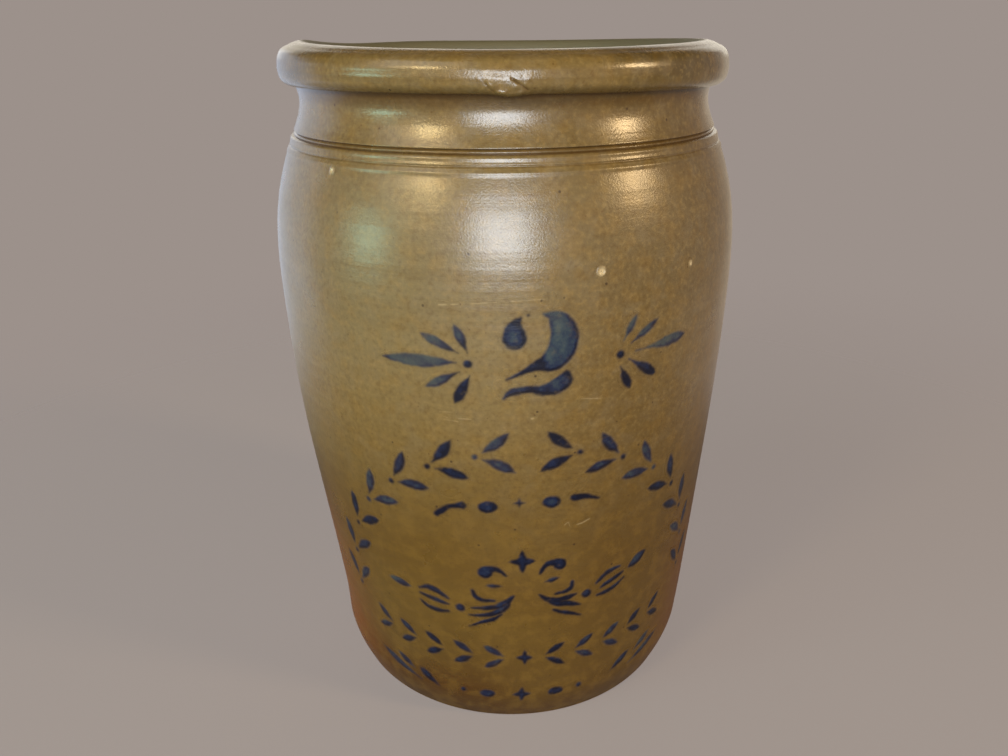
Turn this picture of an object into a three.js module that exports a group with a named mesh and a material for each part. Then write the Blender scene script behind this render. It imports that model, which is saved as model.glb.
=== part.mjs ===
// Salt-glazed stoneware crock: a two-gallon storage jar of thrown clay pieces luted into one another.
// Millimetres, +Z up. The origin is the centre of the underside, where the jar stands.
import * as THREE from "three";

// Heights, stacked from the underside up
const BELLY_HEIGHT = 213; // underside to the widest ring
const SHOULDER_HEIGHT = 57.5; // widest ring to the incised line
const NECK_HEIGHT = 18.5; // incised line to the underside of the rim
const LIP_HEIGHT = 10; // lip of the neck, inside the roll of the rim
const RIM_CAP = 6; // clay of the roll above the lip

// Outer radii
const FOOT_RADIUS = 87; // edge that meets the table
const HEEL_RADIUS = 93.2; // top of the rounded heel
const BELLY_RADIUS = 106.8; // widest ring
const SHOULDER_RADIUS = 95.2; // at the incised line
const NECK_RADIUS = 89.8; // narrowest ring, under the rim
const RIM_OVERHANG = 8.8; // how far the rim stands out from the neck

// Clay, slip coat and joints
const WALL = 9; // measured level
const LINING = 0.8; // slip coat inside
const LUTE = 0.3; // slip left between two joined pieces

// Foot and floor: the disc is a plug under a flange that sits on a ledge in the wall
const HEEL_HEIGHT = 18;
const PLUG_DEPTH = 5;
const FLANGE_DEPTH = 7;
const LEDGE_WIDTH = 6;
const COVE = 14; // rounded inside corner, from the floor up

// Half-lap of the collar over a tongue on top of the wall
const LAP_HEIGHT = 7;

// Lines cut on the wheel
const INCISED_WIDTH = 2.4; // main line, at the joint of wall and collar
const INCISED_DEPTH = 1.1;
const FINE_LINE_DROP = 4.7; // from the main line down to a finer one
const FINE_LINE_WIDTH = 1.6;
const FINE_LINE_DEPTH = 0.5;

// Rim
const RIM_TOP_ROUND = 5;
const RIM_UNDER_ROUND = 4;
const RIM_INNER_ROUND = 2.5;
const LINING_STOP = 4; // from the rim's top down to the edge of the slip coat

// Fullness of the curves, each as a share of the way between the rings that it joins
const HEEL_FULLNESS = 0.75;
const SHOULDER_RISE = 0.4;
const SHOULDER_TURN = 0.7;
const SHOULDER_FULLNESS = 0.6;
const NECK_TURN = 0.4;

// Facets
const TURN_STEPS = 48;
const HEEL_STEPS = 3;
const WALL_STEPS = 6;
const SHOULDER_STEPS = 6;
const NECK_STEPS = 4;
const ROUND_STEPS = 4;
const DOUBLED = 1e-6; // points closer than this are one

// Levels and radii that follow from those sizes
const FLOOR_LEVEL = PLUG_DEPTH + FLANGE_DEPTH;
const COVE_LEVEL = FLOOR_LEVEL + COVE;
const LINE_LEVEL = BELLY_HEIGHT + SHOULDER_HEIGHT;
const FINE_LINE_LEVEL = LINE_LEVEL - FINE_LINE_DROP;
const LAP_LEVEL = LINE_LEVEL + LAP_HEIGHT;
const CREASE_LEVEL = LINE_LEVEL + NECK_HEIGHT;
const LIP_LEVEL = CREASE_LEVEL + LIP_HEIGHT;
const TOP_LEVEL = LIP_LEVEL + RIM_CAP;
const SEAT_RADIUS = FOOT_RADIUS - WALL;
const PLUG_RADIUS = SEAT_RADIUS - LEDGE_WIDTH;
const RIM_RADIUS = NECK_RADIUS + RIM_OVERHANG;
const MOUTH_RADIUS = NECK_RADIUS - WALL;

const at = (radius, level) => new THREE.Vector2(radius, level);
const between = (low, high, share) => low + (high - low) * share;

// Outside of the jar from the foot to the crease under the rim, every curve rising all the way
const heel = new THREE.QuadraticBezierCurve(
  at(FOOT_RADIUS, 0),
  at(between(FOOT_RADIUS, HEEL_RADIUS, HEEL_FULLNESS), HEEL_HEIGHT / 2),
  at(HEEL_RADIUS, HEEL_HEIGHT),
);
const flank = new THREE.CubicBezierCurve(
  at(HEEL_RADIUS, HEEL_HEIGHT),
  at(between(HEEL_RADIUS, BELLY_RADIUS, 1 / 3), between(HEEL_HEIGHT, BELLY_HEIGHT, 1 / 3)),
  at(BELLY_RADIUS, between(HEEL_HEIGHT, BELLY_HEIGHT, 2 / 3)),
  at(BELLY_RADIUS, BELLY_HEIGHT),
);
const shoulder = new THREE.CubicBezierCurve(
  at(BELLY_RADIUS, BELLY_HEIGHT),
  at(BELLY_RADIUS, between(BELLY_HEIGHT, LINE_LEVEL, SHOULDER_RISE)),
  at(
    between(SHOULDER_RADIUS, BELLY_RADIUS, SHOULDER_FULLNESS),
    between(BELLY_HEIGHT, LINE_LEVEL, SHOULDER_TURN),
  ),
  at(SHOULDER_RADIUS, LINE_LEVEL),
);
const neck = new THREE.QuadraticBezierCurve(
  at(SHOULDER_RADIUS, LINE_LEVEL),
  at(NECK_RADIUS, between(LINE_LEVEL, CREASE_LEVEL, NECK_TURN)),
  at(NECK_RADIUS, CREASE_LEVEL),
);
const outside = [
  ...heel.getPoints(HEEL_STEPS),
  ...flank.getPoints(WALL_STEPS).slice(1),
  ...shoulder.getPoints(SHOULDER_STEPS).slice(1),
  ...neck.getPoints(NECK_STEPS).slice(1),
];

// Outer radius at a level
function radiusAt(level) {
  const upper = outside.findIndex((p, i) => i > 0 && p.y >= level);
  const [a, b] = [outside[upper - 1], outside[upper]];
  return THREE.MathUtils.mapLinear(level, a.y, b.y, a.x, b.x);
}

// The outside between two levels, set in by a level depth
function side(low, high, depth = 0) {
  const middle = outside.filter((p) => p.y > low && p.y < high);
  const ends = [low, high].map((level) => at(radiusAt(level), level));
  return [ends[0], ...middle, ends[1]].map((p) => at(p.x - depth, p.y));
}

// Rounded corner between floor and wall, raised and set in by a depth, from the floor up
function cove(depth) {
  const inner = radiusAt(COVE_LEVEL) - WALL - depth;
  return new THREE.QuadraticBezierCurve(
    at(SEAT_RADIUS - depth, FLOOR_LEVEL + depth),
    at(inner, FLOOR_LEVEL + depth),
    at(inner, COVE_LEVEL),
  ).getPoints(ROUND_STEPS);
}

// Inside of the jar up to a level, set in by a depth from the clay
function inside(high, depth = 0) {
  return [...cove(depth), ...side(COVE_LEVEL, high, WALL + depth).slice(1)];
}

// Quarter round about a centre, anticlockwise from a start angle
function quarter(radius, level, round, start) {
  return Array.from({ length: ROUND_STEPS + 1 }, (_, i) => {
    const angle = start + ((Math.PI / 2) * i) / ROUND_STEPS;
    return at(radius + round * Math.cos(angle), level + round * Math.sin(angle));
  });
}

// A turned piece: its section runs up the outside and down the inside, with doubled points left out
function turned(name, colour, roughness, section) {
  const loop = section.filter((p, i) => i === 0 || p.distanceTo(section[i - 1]) > DOUBLED);
  const geometry = new THREE.LatheGeometry(loop, TURN_STEPS).rotateX(Math.PI / 2);
  const mesh = new THREE.Mesh(geometry, new THREE.MeshStandardMaterial({ color: colour, roughness }));
  mesh.name = name;
  return mesh;
}

const closed = (section) => [...section, section[0].clone()];

function floorDisc() {
  return turned("floor_disc", "#8c7350", 0.8, [
    at(0, 0),
    at(PLUG_RADIUS - LUTE, 0),
    at(PLUG_RADIUS - LUTE, PLUG_DEPTH + LUTE),
    at(SEAT_RADIUS - LUTE, PLUG_DEPTH + LUTE),
    at(SEAT_RADIUS - LUTE, FLOOR_LEVEL),
    at(0, FLOOR_LEVEL),
  ]);
}

function bodyWall() {
  const fineLow = FINE_LINE_LEVEL - FINE_LINE_WIDTH / 2;
  const fineHigh = FINE_LINE_LEVEL + FINE_LINE_WIDTH / 2;
  const section = [
    ...side(0, fineLow),
    at(radiusAt(FINE_LINE_LEVEL) - FINE_LINE_DEPTH, FINE_LINE_LEVEL),
    ...side(fineHigh, LINE_LEVEL - INCISED_WIDTH / 2),
    at(SHOULDER_RADIUS - INCISED_DEPTH, LINE_LEVEL),
    ...side(LINE_LEVEL, LAP_LEVEL, WALL / 2),
    ...inside(LAP_LEVEL).reverse(),
    at(SEAT_RADIUS, PLUG_DEPTH),
    at(PLUG_RADIUS, PLUG_DEPTH),
    at(PLUG_RADIUS, 0),
  ];
  return turned("body_wall", "#806a43", 0.35, closed(section));
}

function neckCollar() {
  const section = [
    at(SHOULDER_RADIUS - INCISED_DEPTH, LINE_LEVEL + LUTE),
    ...side(LINE_LEVEL + INCISED_WIDTH / 2, CREASE_LEVEL),
    at(NECK_RADIUS, LIP_LEVEL - LUTE),
    at(MOUTH_RADIUS, LIP_LEVEL - LUTE),
    ...side(LAP_LEVEL + LUTE, CREASE_LEVEL, WALL).reverse(),
    ...side(LINE_LEVEL + LUTE, LAP_LEVEL + LUTE, WALL / 2 - LUTE).reverse(),
  ];
  return turned("neck_collar", "#7a6238", 0.35, closed(section));
}

function rimRoll() {
  const topRound = Math.min(RIM_TOP_ROUND, (TOP_LEVEL - CREASE_LEVEL) / 2);
  const underRound = Math.min(RIM_UNDER_ROUND, (TOP_LEVEL - CREASE_LEVEL) / 2, RIM_OVERHANG / 2);
  const innerRound = Math.min(RIM_INNER_ROUND, RIM_CAP / 2);
  const section = [
    at(NECK_RADIUS + LUTE, CREASE_LEVEL),
    ...quarter(RIM_RADIUS - underRound, CREASE_LEVEL + underRound, underRound, -Math.PI / 2),
    ...quarter(RIM_RADIUS - topRound, TOP_LEVEL - topRound, topRound, 0),
    ...quarter(MOUTH_RADIUS + innerRound, TOP_LEVEL - innerRound, innerRound, Math.PI / 2),
    at(MOUTH_RADIUS, LIP_LEVEL),
    at(NECK_RADIUS + LUTE, LIP_LEVEL),
  ];
  return turned("rim_roll", "#745f38", 0.35, closed(section));
}

function slipLining() {
  const edge = TOP_LEVEL - LINING_STOP;
  const face = LUTE + LINING;
  return turned("slip_lining", "#3b2718", 0.3, [
    at(0, FLOOR_LEVEL + LUTE),
    ...inside(CREASE_LEVEL, LUTE),
    at(MOUTH_RADIUS - LUTE, edge),
    at(MOUTH_RADIUS - face, edge),
    ...inside(CREASE_LEVEL, face).reverse(),
    at(0, FLOOR_LEVEL + face),
  ]);
}

const crock = new THREE.Group();
crock.add(floorDisc(), bodyWall(), neckCollar(), rimRoll(), slipLining());

export default crock;
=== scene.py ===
"""Salt-glazed stoneware crock: clay, painted ornament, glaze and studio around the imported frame."""
import math

import bpy
import numpy as np
from mathutils import Matrix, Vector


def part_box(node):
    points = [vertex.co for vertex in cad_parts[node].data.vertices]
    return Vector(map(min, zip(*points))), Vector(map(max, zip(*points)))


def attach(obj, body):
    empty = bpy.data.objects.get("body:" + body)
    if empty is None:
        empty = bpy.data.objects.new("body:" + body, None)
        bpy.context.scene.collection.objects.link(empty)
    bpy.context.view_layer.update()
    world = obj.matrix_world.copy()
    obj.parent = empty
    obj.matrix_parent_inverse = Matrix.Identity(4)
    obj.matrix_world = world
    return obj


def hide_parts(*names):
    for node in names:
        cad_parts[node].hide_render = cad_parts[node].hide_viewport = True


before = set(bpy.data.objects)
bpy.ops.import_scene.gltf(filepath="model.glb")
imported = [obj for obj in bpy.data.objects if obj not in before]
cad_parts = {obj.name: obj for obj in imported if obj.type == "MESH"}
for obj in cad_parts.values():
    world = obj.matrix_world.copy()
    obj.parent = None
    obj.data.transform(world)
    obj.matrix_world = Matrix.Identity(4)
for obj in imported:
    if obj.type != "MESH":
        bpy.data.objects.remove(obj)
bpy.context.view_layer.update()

MM = 0.001  # all sizes below are millimetres unless a name says otherwise

# Sizes read from the frame
RIM_LOW, RIM_HIGH = (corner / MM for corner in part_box("rim_roll"))
FLOOR_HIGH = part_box("floor_disc")[1] / MM
BELLY_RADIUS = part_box("body_wall")[1].x / MM
RIM_RADIUS = RIM_HIGH.x
SEAT_RADIUS = FLOOR_HIGH.x
LINE_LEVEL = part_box("neck_collar")[0].z / MM
CREASE_LEVEL = RIM_LOW.z
TOP_LEVEL = RIM_HIGH.z
FLOOR_LEVEL = FLOOR_HIGH.z
LINING_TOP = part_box("slip_lining")[1].z / MM

# Sizes of the clay
WALL = 9.0
LINING = 0.8
FOOT_RADIUS = 87.0
FOOT_ROUND = 1.6
FOOT_INNER_RADIUS = 72.0
HEEL_RADIUS = 93.2
HEEL_HEIGHT = 18.0
BELLY_HEIGHT = 213.0
SHOULDER_RADIUS = 95.0
NECK_RADIUS = 90.8
WAIST_LEVEL = LINE_LEVEL + 13.2
NECK_TOP = CREASE_LEVEL + 2.5  # hidden in the rim
MOUTH_RADIUS = NECK_RADIUS - WALL
COVE = 14.0
COVE_LEVEL = FLOOR_LEVEL + COVE

# Lean of the hand-thrown jar: its upper half stands this far to the left of its foot
LEAN = 2.8
LEAN_TOP = 170.0
FOOT_SHIFT = 1.35  # and the foot stands a little to the left under it
FOOT_SHIFT_TOP = 42.0

# Hand-thrown unevenness: an oval swell, a slower wave, two sets of throwing rings and soft lumps
OVAL_SWELL = 0.30
SLOW_WAVE = 0.16
RING_HEIGHT, RING_PITCH = 0.022, 7.1
FINE_RING_HEIGHT, FINE_RING_PITCH = 0.010, 3.7
LUMP_HEIGHT, LUMP_SIZE = 0.05, 19.0

# Incised lines at the shoulder: two narrow cuts with a sunk strip between them, and a finer line below
GROOVE_HALF = 0.75
GROOVE_DEPTH = 1.0
GROOVE_SUNK = 0.45
CUT_HALF = 0.34
FINE_LINE_DROP = 4.7
FINE_LINE_HALF = 0.7
FINE_LINE_DEPTH = 0.32
RIDGE_DROPS = (1.9, 6.7)  # soft ridges pushed up below the two lines
RIDGE_HALF = 0.9
RIDGE_HEIGHT = 0.33

# Mesh fineness
TURN_STEPS = 288
WALL_STEP = 1.1
LINE_STEP = 0.16
NECK_STEP = 0.45
RIM_ARC_STEPS = 110
LAP_HALF_ANGLE = math.radians(9)
LAP_COLUMNS = 96

# Painted ornament
PAINT_RADIUS = 103.0  # distance across the ornament is angle times this
PAINT_PROUD = 0.09
PAINT_SUNK = 0.3
PAINT_FEATHER = 0.72
PAINT_MARGIN = 1.6


def bezier(points, steps):
    """Points along a Bezier curve of any degree."""
    t = np.linspace(0, 1, steps)[:, None]
    degree = len(points) - 1
    return sum(
        math.comb(degree, i) * (1 - t) ** (degree - i) * t**i * np.array(p, float)
        for i, p in enumerate(points)
    )


def between(low, high, share):
    return low + (high - low) * share


def through(points, steps):
    """A smooth run through points of any width, by Catmull-Rom pieces, evenly spaced in the end."""
    p = np.array(points, float)
    p = np.vstack([2 * p[0] - p[1], p, 2 * p[-1] - p[-2]])
    fine = []
    for a, b, c, d in zip(p, p[1:], p[2:], p[3:]):
        t = np.linspace(0, 1, 17)[:-1, None]
        square = 2 * a - 5 * b + 4 * c - d
        cube = 3 * b - a - 3 * c + d
        fine.append(0.5 * (2 * b + (c - a) * t + square * t**2 + cube * t**3))
    fine = np.vstack(fine + [p[-2:-1]])
    run = np.concatenate([[0], np.cumsum(np.hypot(*np.diff(fine[:, :2], axis=0).T))])
    places = np.linspace(0, run[-1], steps)
    return np.stack([np.interp(places, run, column) for column in fine.T], -1)


# The jar's outside as (radius, level), from the foot to the crease under the rim
OUTLINE = np.vstack([
    bezier([
        (FOOT_RADIUS, 0),
        (between(FOOT_RADIUS, HEEL_RADIUS, 0.75), HEEL_HEIGHT / 2),
        (HEEL_RADIUS, HEEL_HEIGHT),
    ], 20),
    bezier([
        (HEEL_RADIUS, HEEL_HEIGHT),
        (between(HEEL_RADIUS, BELLY_RADIUS, 1 / 3), between(HEEL_HEIGHT, BELLY_HEIGHT, 1 / 3)),
        (BELLY_RADIUS, between(HEEL_HEIGHT, BELLY_HEIGHT, 2 / 3)),
        (BELLY_RADIUS, BELLY_HEIGHT),
    ], 160)[1:],
    bezier([
        (BELLY_RADIUS, BELLY_HEIGHT),
        (BELLY_RADIUS, between(BELLY_HEIGHT, LINE_LEVEL, 0.4)),
        (between(SHOULDER_RADIUS, BELLY_RADIUS, 0.74), between(BELLY_HEIGHT, LINE_LEVEL, 0.645)),
        (SHOULDER_RADIUS, LINE_LEVEL),
    ], 80)[1:],
    through([
        (SHOULDER_RADIUS, LINE_LEVEL),
        (NECK_RADIUS + 2.6, LINE_LEVEL + 3.5),
        (NECK_RADIUS + 1.6, LINE_LEVEL + 6.0),
        (NECK_RADIUS + 0.78, LINE_LEVEL + 8.5),
        (NECK_RADIUS + 0.2, LINE_LEVEL + 11.2),
        (NECK_RADIUS, WAIST_LEVEL),
        (NECK_RADIUS + 0.12, LINE_LEVEL + 15.0),
        (NECK_RADIUS + 0.42, LINE_LEVEL + 16.8),
        (NECK_RADIUS + 0.9, LINE_LEVEL + 18.5),
        (NECK_RADIUS + 1.8, NECK_TOP),
    ], 60)[1:],
])


def smooth_step(low, high, value):
    t = np.clip((value - low) / (high - low), 0, 1)
    return t * t * (3 - 2 * t)


def lumps(theta, level, size, seed):
    """Smooth seeded lumps of about a given size, from -1 to 1, that close round the jar."""
    columns = round(2 * np.pi * PAINT_RADIUS / size)
    heights = np.random.default_rng(seed).uniform(-1, 1, (columns, 1024))
    x = theta / (2 * np.pi) * columns
    y = level / size
    i = np.floor(x).astype(int)
    j = np.floor(y).astype(int)
    u = smooth_step(0, 1, x - i)
    v = smooth_step(0, 1, y - j)

    def corner(right, up):
        return heights[(i + right) % columns, (j + up) % 1024]

    low = between(corner(0, 0), corner(1, 0), u)
    high = between(corner(0, 1), corner(1, 1), u)
    return between(low, high, v)


def oval_swell(theta):
    return OVAL_SWELL * np.cos(2 * theta + 0.8)


def unevenness(theta, level):
    """Hand-thrown swells and helical throwing rings, as an addition to the radius."""
    turn = 2 * np.pi * level
    swell = oval_swell(theta) + SLOW_WAVE * np.sin(3 * theta + level / 45 + 1.0)
    rings = RING_HEIGHT * np.sin(turn / RING_PITCH + theta + 0.9 * np.sin(level / 21))
    rings = rings + FINE_RING_HEIGHT * np.sin(turn / FINE_RING_PITCH - 2 * theta + 1.3 * np.sin(level / 13))
    rings = rings + LUMP_HEIGHT * lumps(theta, level, LUMP_SIZE, 5)
    strength = smooth_step(4, 30, level) * (1 - 0.6 * smooth_step(240, 275, level))
    return swell * smooth_step(0, 40, level) + rings * strength


def groove_cuts(level):
    """How far a level lies in one of the two narrow cuts of the incised line, from 0 to 1."""
    across = np.abs(level - LINE_LEVEL)
    return np.exp(-(((across - GROOVE_HALF) / CUT_HALF) ** 2))


def lines_cut(level):
    """Depth of the incised lines at a level."""
    across = np.abs(level - LINE_LEVEL)
    strip = GROOVE_SUNK * (1 - smooth_step(GROOVE_HALF, GROOVE_HALF + CUT_HALF, across))
    cuts = (GROOVE_DEPTH - GROOVE_SUNK) * groove_cuts(level)
    fine = np.abs(level - (LINE_LEVEL - FINE_LINE_DROP))
    ridges = sum(np.exp(-(((level - LINE_LEVEL + drop) / RIDGE_HALF) ** 2)) for drop in RIDGE_DROPS)
    fine_cut = FINE_LINE_DEPTH * (1 - smooth_step(0, FINE_LINE_HALF, fine))
    return strip + cuts + fine_cut - RIDGE_HEIGHT * ridges


def outer_radius(theta, level):
    """Radius of the finished outside of wall and neck."""
    base = np.interp(level, OUTLINE[:, 1], OUTLINE[:, 0])
    return base + unevenness(theta, level) - lines_cut(level)


def inner_radius(theta, level, depth=0.0):
    """Radius of the inside of the clay, less a depth."""
    base = np.interp(np.minimum(level, WAIST_LEVEL), OUTLINE[:, 1], OUTLINE[:, 0])
    rings = 0.22 * np.sin(2 * np.pi * level / 9.5 + theta)
    return base - WALL - depth + rings * smooth_step(COVE_LEVEL, COVE_LEVEL + 20, level)


# Meshes

def add_object(name, vertices, faces, material, attributes=None, sharp_degrees=40):
    """A smooth-shaded object from millimetre vertices, riding on the jar's one body."""
    mesh = bpy.data.meshes.new(name)
    mesh.from_pydata((np.asarray(vertices) * MM).tolist(), [], faces)
    mesh.validate()
    for key, values in (attributes or {}).items():
        layer = mesh.attributes.new(key, "FLOAT", "POINT")
        layer.data.foreach_set("value", np.asarray(values, np.float32))
    mesh.shade_smooth()
    mesh.set_sharp_from_angle(angle=math.radians(sharp_degrees))
    mesh.materials.append(material)
    piece = bpy.data.objects.new(name, mesh)
    bpy.context.collection.objects.link(piece)
    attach(piece, "root")
    return piece


def around(theta, radius, level):
    """Places round the axis: angle 0 is the painted front and grows to the right."""
    radius, level = np.broadcast_arrays(radius, level)
    lean = LEAN * (0.5 - smooth_step(0, LEAN_TOP, level))
    lean = lean - FOOT_SHIFT * (1 - smooth_step(0, FOOT_SHIFT_TOP, level))
    return np.stack([radius * np.sin(theta) + lean, -radius * np.cos(theta), level], -1)


def ring_faces(rows, columns, closed):
    """Quads between neighbouring rings of a turned piece."""
    faces = []
    for i in range(rows if closed else rows - 1):
        low = i * columns
        high = (i + 1) % rows * columns
        for j in range(columns):
            k = (j + 1) % columns
            faces.append((low + j, low + k, high + k, high + j))
    return faces


def turned_ring(name, theta, rows, material, attributes=None):
    """A ring solid: rows of (radius, level) run up the outside, down the inside and meet again."""
    points = np.concatenate([around(theta, *np.broadcast_arrays(r, z, theta)[:2]) for r, z in rows])
    faces = ring_faces(len(rows), len(theta), closed=True)
    return add_object(name, points, faces, material, attributes)


def turned_bowl(name, theta, rows, material):
    """A solid that meets the axis at both ends: the first and last rows shrink to one point each."""
    rings = rows[1:-1]
    points = np.concatenate([around(theta, *np.broadcast_arrays(r, z, theta)[:2]) for r, z in rings])
    ends = np.array([[0, 0, rows[0][1]], [0, 0, rows[-1][1]]], float)
    columns = len(theta)
    faces = ring_faces(len(rings), columns, closed=False)
    first = len(points)
    last = first + 1
    top = (len(rings) - 1) * columns
    for j in range(columns):
        k = (j + 1) % columns
        faces.append((first, k, j))
        faces.append((last, top + j, top + k))
    return add_object(name, np.vstack([points, ends]), faces, material)


# Materials

def srgb(red, green, blue):
    """Linear colour from 0 to 255 screen values."""
    def channel(value):
        value /= 255
        return value / 12.92 if value <= 0.04045 else ((value + 0.055) / 1.055) ** 2.4
    return (channel(red), channel(green), channel(blue), 1.0)


class Tree:
    """Short calls for building a material's nodes."""

    def __init__(self, name):
        self.material = bpy.data.materials.new(name)
        self.material.use_nodes = True
        self.tree = self.material.node_tree
        self.shader = self.tree.nodes["Principled BSDF"]
        self.object = self.add("TexCoord").outputs["Object"]

    def add(self, kind, settings=None, **sockets):
        made = self.tree.nodes.new("ShaderNode" + kind)
        for key, value in (settings or {}).items():
            setattr(made, key, value)
        for key, value in sockets.items():
            self.put(made.inputs[key.replace("_", " ")], value)
        return made

    def put(self, socket, value):
        if isinstance(value, bpy.types.NodeSocket):
            self.tree.links.new(value, socket)
        else:
            socket.default_value = value

    def noise(self, scale, detail=3.0, roughness=0.5, stretch=None, distortion=0.0):
        place = self.object
        if stretch:
            place = self.add("Mapping", Vector=place, Scale=stretch).outputs["Vector"]
        made = self.add("TexNoise", Vector=place, Scale=scale, Detail=detail, Roughness=roughness,
                        Distortion=distortion)
        return made.outputs["Fac"]

    def range(self, value, low, high, to_low=0.0, to_high=1.0):
        made = self.add("MapRange", {"interpolation_type": "SMOOTHSTEP"}, Value=value, From_Min=low,
                        From_Max=high, To_Min=to_low, To_Max=to_high)
        return made.outputs["Result"]

    def mix(self, factor, a, b, blend="MIX"):
        made = self.add("Mix", {"data_type": "RGBA", "blend_type": blend})
        self.put(made.inputs[0], factor)
        self.put(made.inputs[6], a)
        self.put(made.inputs[7], b)
        return made.outputs[2]

    def math(self, operation, a, b):
        made = self.add("Math", {"operation": operation})
        self.put(made.inputs[0], a)
        self.put(made.inputs[1], b)
        return made.outputs["Value"]

    def ramp(self, factor, stops):
        made = self.add("ValToRGB", Fac=factor)
        elements = made.color_ramp.elements
        for place, colour in stops[1:-1]:
            elements.new(place).color = colour
        elements[0].position, elements[0].color = stops[0]
        elements[len(stops) - 1].position, elements[len(stops) - 1].color = stops[-1]
        return made.outputs["Color"]

    def attribute(self, name):
        return self.add("Attribute", {"attribute_name": name}).outputs["Fac"]

    def bump(self, height, strength, distance, normal=None):
        made = self.add("Bump", Strength=strength, Distance=distance, Height=height)
        if normal:
            self.put(made.inputs["Normal"], normal)
        return made.outputs["Normal"]


def speckle(tree, scale, size, share):
    """Mask of scattered round spots: their scale, their size in the cell and the share of cells."""
    cells = tree.add("TexVoronoi", Vector=tree.object, Scale=scale)
    spot = tree.range(cells.outputs["Distance"], size, size * 0.4)
    chosen = tree.add("SeparateColor", Color=cells.outputs["Color"]).outputs["Red"]
    return tree.math("MULTIPLY", spot, tree.math("LESS_THAN", chosen, share))


GLAZE_IOR = 1.6

# Glaze colour by share of the jar's height: browner at the foot, greyest below the shoulder, and darkest at
# the rim's top, where painted shade stands in for less light from above
GLAZE_BY_HEIGHT = [
    (0.0, srgb(74, 46, 8)),
    (0.05, srgb(76, 47, 10)),
    (0.115, srgb(91, 66, 22)),
    (0.20, srgb(98, 73, 25)),
    (0.295, srgb(97, 71, 23)),
    (0.41, srgb(105, 82, 38)),
    (0.525, srgb(117, 95, 52)),
    (0.655, srgb(121, 103, 66)),
    (0.77, srgb(116, 100, 66)),
    (0.86, srgb(112, 94, 58)),
    (0.90, srgb(109, 90, 54)),
    (0.955, srgb(112, 92, 52)),
    # The last two stops are painted shade on the rim's upward-facing top
    (0.975, srgb(102, 83, 44)),
    (1.0, srgb(80, 64, 32)),
]
# Orange of the lower sides away from the front: partly kiln blush, partly a painted reflection of warm
# light
BLUSH_AND_SHEEN_BY_HEIGHT = [
    (0.05, srgb(170, 92, 8)),
    (0.22, srgb(156, 82, 6)),
    (0.38, srgb(104, 62, 14)),
]
PLAIN_FRONT = (-0.078, -0.02)  # metres of depth over which the kiln blush and painted orange sheen set in behind the front
RIGHT_SHADE_STOPS = ((CREASE_LEVEL - 3) * MM, (CREASE_LEVEL + 5) * MM)  # levels where the painted shade on the right side ends


def glaze_colour(tree):
    """Tan salt glaze, browner towards the foot, with kiln blush and a painted orange sheen on the lower
    sides, painted shade on the right side and the rim's top, mottling, streaks and iron specks.
    """
    place = tree.add("SeparateXYZ", Vector=tree.object)
    level = place.outputs["Z"]
    wander = tree.range(tree.noise(9, detail=2), 0.3, 0.7, -0.05, 0.05)
    height = tree.math("ADD", tree.math("DIVIDE", level, TOP_LEVEL * MM), wander)
    colour = tree.ramp(height, GLAZE_BY_HEIGHT)
    # Kiln blush with a painted orange sheen on the lower sides, away from the front
    away_from_front = tree.range(place.outputs["Y"], *PLAIN_FRONT)
    low = tree.range(tree.math("ADD", height, wander), 0.52, 0.32)
    low = tree.math("MULTIPLY", low, tree.range(place.outputs["Y"], 0.0, 0.08, 1.0, 0.5))
    blush_and_sheen = tree.math("MULTIPLY", tree.math("MULTIPLY", away_from_front, low), 0.8)
    colour = tree.mix(blush_and_sheen, colour, tree.ramp(height, BLUSH_AND_SHEEN_BY_HEIGHT))
    # Painted shade: the jar's right side is darkened in colour, fading out on the rim
    shade_right = tree.range(place.outputs["X"], -0.01, 0.05, 0.0, 0.48)
    shade_right = tree.math("MULTIPLY", shade_right, tree.range(level, *RIGHT_SHADE_STOPS, 1.0, 0.25))
    colour = tree.mix(shade_right, colour, srgb(84, 61, 24))
    ochre = tree.range(tree.noise(150, detail=3, roughness=0.6), 0.42, 0.66, 0.0, 0.26)
    colour = tree.mix(ochre, colour, srgb(132, 100, 40))
    grey = tree.range(tree.noise(110, detail=3, distortion=0.6), 0.45, 0.7, 0.0, 0.24)
    grey = tree.math("MULTIPLY", grey, tree.range(height, 0.25, 0.6))
    colour = tree.mix(grey, colour, srgb(124, 110, 84))
    streak = tree.range(tree.noise(1.0, detail=3, stretch=(5, 5, 420)), 0.35, 0.65, 0.0, 0.14)
    colour = tree.mix(streak, colour, srgb(88, 64, 30))
    grain = tree.noise(540, detail=2, roughness=0.55)
    colour = tree.mix(tree.range(grain, 0.5, 0.72, 0.0, 0.36), colour, srgb(84, 60, 24))
    pale = tree.math("MULTIPLY", tree.range(grain, 0.5, 0.28, 0.0, 0.26), tree.range(height, 0.3, 0.6))
    colour = tree.mix(pale, colour, srgb(150, 124, 74))
    fine_specks = tree.math("MULTIPLY", speckle(tree, 330, 0.17, 0.09), 0.6)
    colour = tree.mix(fine_specks, colour, srgb(84, 56, 24))
    specks = tree.math("MULTIPLY", speckle(tree, 120, 0.09, 0.42), 0.75)
    return tree.mix(specks, colour, srgb(52, 33, 16))


def glaze_relief(tree):
    """Orange-peel pitting of the salt glaze over fine level lines left by the wheel."""
    lines = tree.noise(1.0, detail=4, stretch=(14, 14, 700))
    normal = tree.bump(lines, 0.12, 0.0004)
    peel = tree.noise(1300, detail=2, roughness=0.5)
    return tree.bump(peel, 0.30, 0.0002, normal)


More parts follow.
